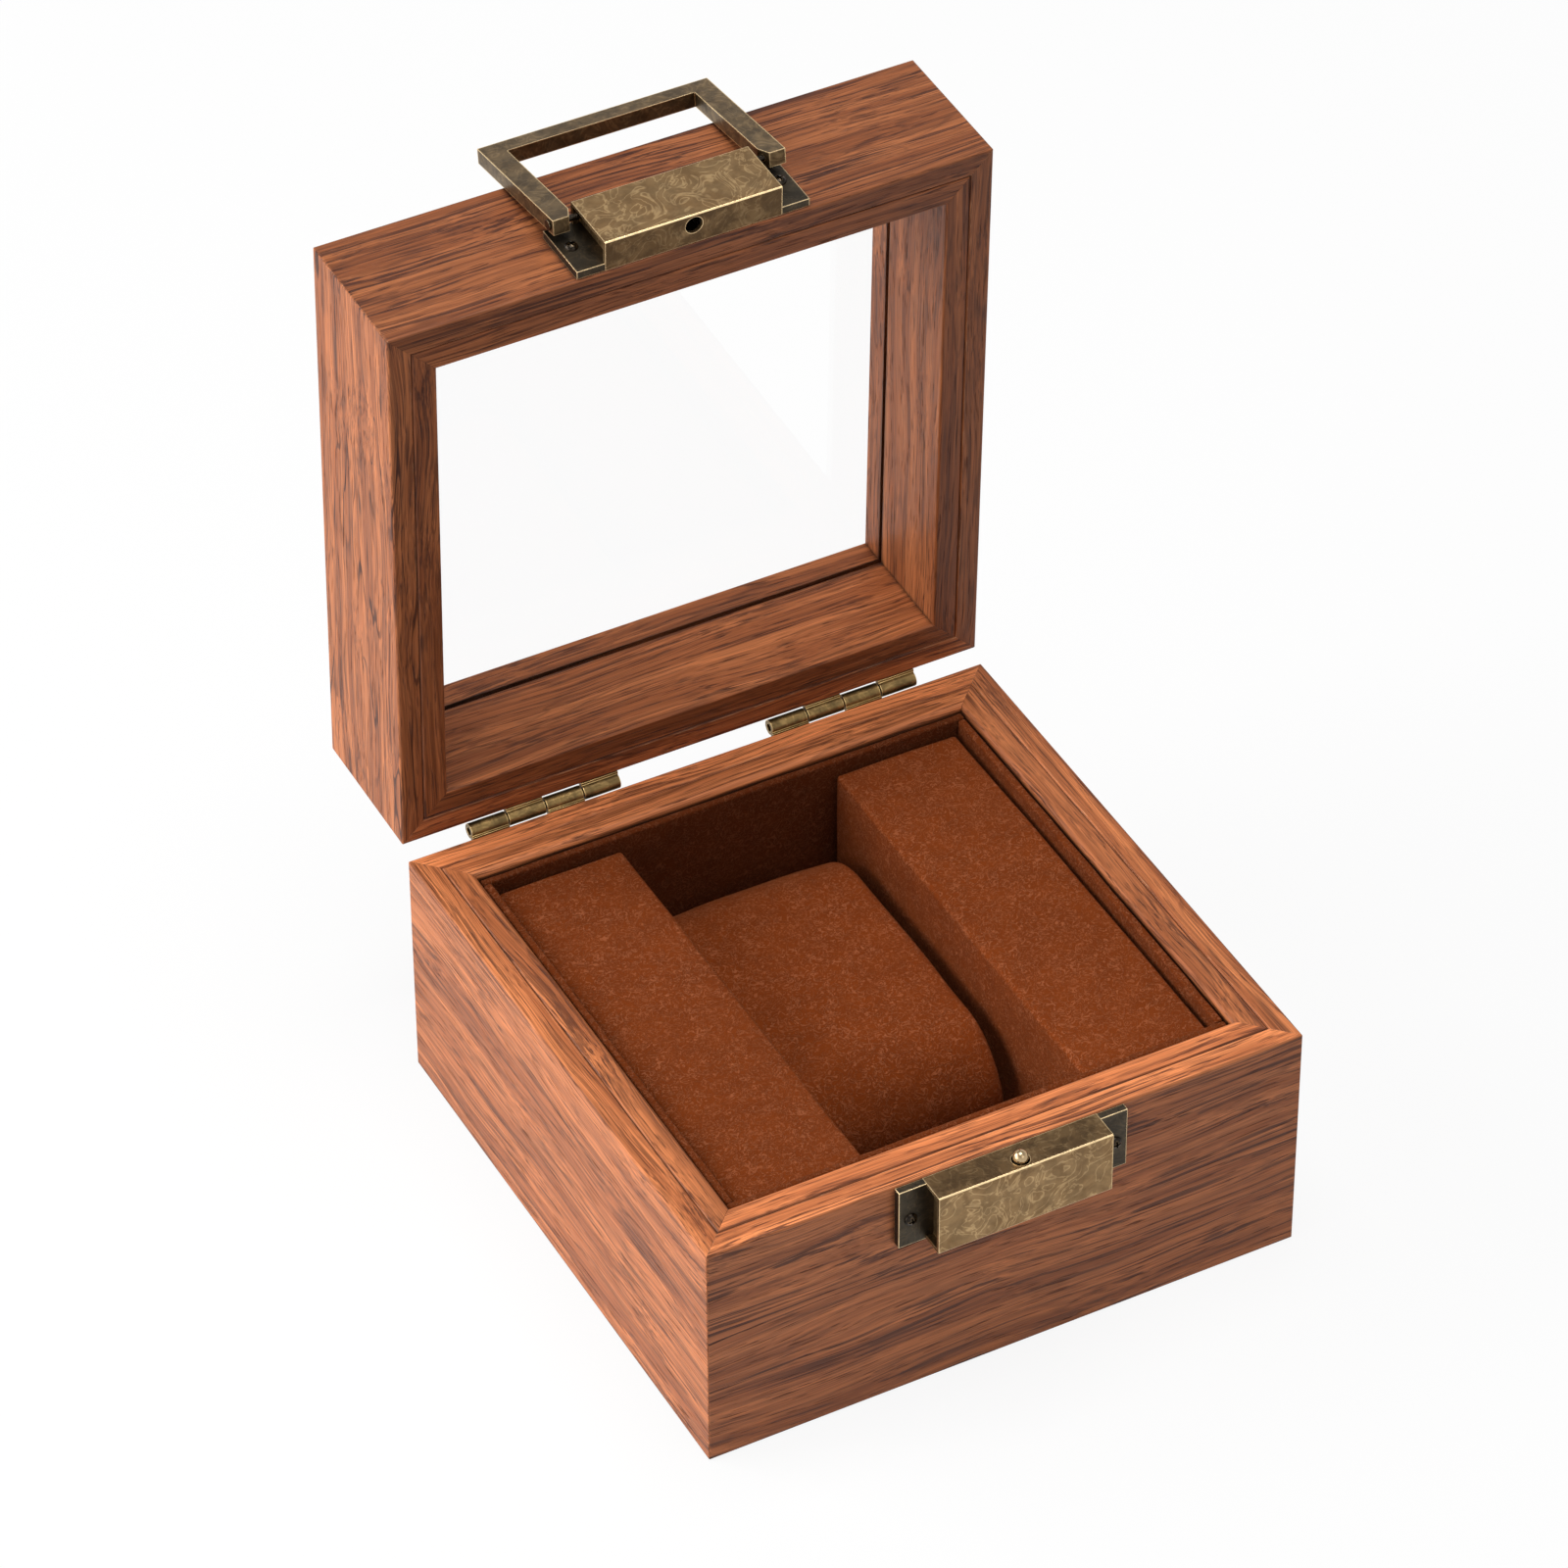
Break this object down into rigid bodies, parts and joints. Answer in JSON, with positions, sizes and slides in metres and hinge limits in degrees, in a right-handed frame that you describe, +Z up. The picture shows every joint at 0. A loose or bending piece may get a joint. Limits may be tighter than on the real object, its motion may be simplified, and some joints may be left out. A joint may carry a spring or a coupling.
{
  "type": "watch display box",
  "caption": "Mitred hardwood display box for a watch: padded well with a loose pillow, hinged window lid, stud catch and folding bail handle.",
  "frame": {"origin": "centre of the underside of the base", "axes": "+Z up, -Y toward the front with the catch, +X to the right seen from the front, lid standing open at the back"},
  "size_m": [0.12, 0.1622, 0.1768],
  "materials": {
    "rosewood": "satin oiled, open grain",
    "bottom_board": "raw board",
    "felt": "short felt",
    "suede": "napped suede",
    "antique_brass": "antiqued, brushed swirls, bright worn edges",
    "spring_clip": "dark",
    "clear_pane": "polished"
  },
  "bodies": {
    "base": {"base_front_wall": "rosewood", "base_back_wall": "rosewood", "base_left_wall": "rosewood", "base_right_wall": "rosewood", "base_front_lining": "rosewood", "base_back_lining": "rosewood", "base_left_lining": "rosewood", "base_right_lining": "rosewood", "base_bottom_panel": "bottom_board", "base_felt": "felt", "liner_front_board": "suede", "liner_back_board": "suede", "liner_left_board": "suede", "liner_right_board": "suede", "liner_floor": "suede", "left_pad": "suede", "right_pad": "suede", "base_catch_plate": "antique_brass", "base_catch_case": "antique_brass", "catch_stud": "antique_brass", "base_catch_screws": "antique_brass", "left_hinge_base_leaf": "antique_brass", "right_hinge_base_leaf": "antique_brass", "left_hinge_pin": "antique_brass", "right_hinge_pin": "antique_brass", "hinge_base_screws": "antique_brass"},
    "pillow": {"watch_pillow": "suede"},
    "lid": {"lid_front_wall": "rosewood", "lid_back_wall": "rosewood", "lid_left_wall": "rosewood", "lid_right_wall": "rosewood", "lid_front_lining": "rosewood", "lid_back_lining": "rosewood", "lid_left_lining": "rosewood", "lid_right_lining": "rosewood", "window_pane": "clear_pane", "left_hinge_lid_leaf": "antique_brass", "right_hinge_lid_leaf": "antique_brass", "hinge_lid_screws": "antique_brass", "lid_catch_plate": "antique_brass", "lid_catch_case": "antique_brass", "lid_catch_screws": "antique_brass", "catch_clip": "spring_clip"},
    "handle": {"handle_bail": "antique_brass", "handle_pins": "antique_brass"}
  },
  "joints": [
    {"name": "lid_hinge", "type": "hinge", "parent": "base", "child": "lid", "pos_m": [0, 0.061, 0.05013], "axis": [1, 0, 0], "range_deg": [0, 88.2]},
    {"name": "bail_pivot", "type": "hinge", "parent": "lid", "child": "handle", "pos_m": [0, 0.0684, 0.17512], "axis": [1, 0, 0], "range_deg": [0, 188.5]},
    {"name": "pillow_lift", "type": "slide", "parent": "base", "child": "pillow", "axis": [0, 0, 1], "range_m": [0, 0.03]}
  ]
}
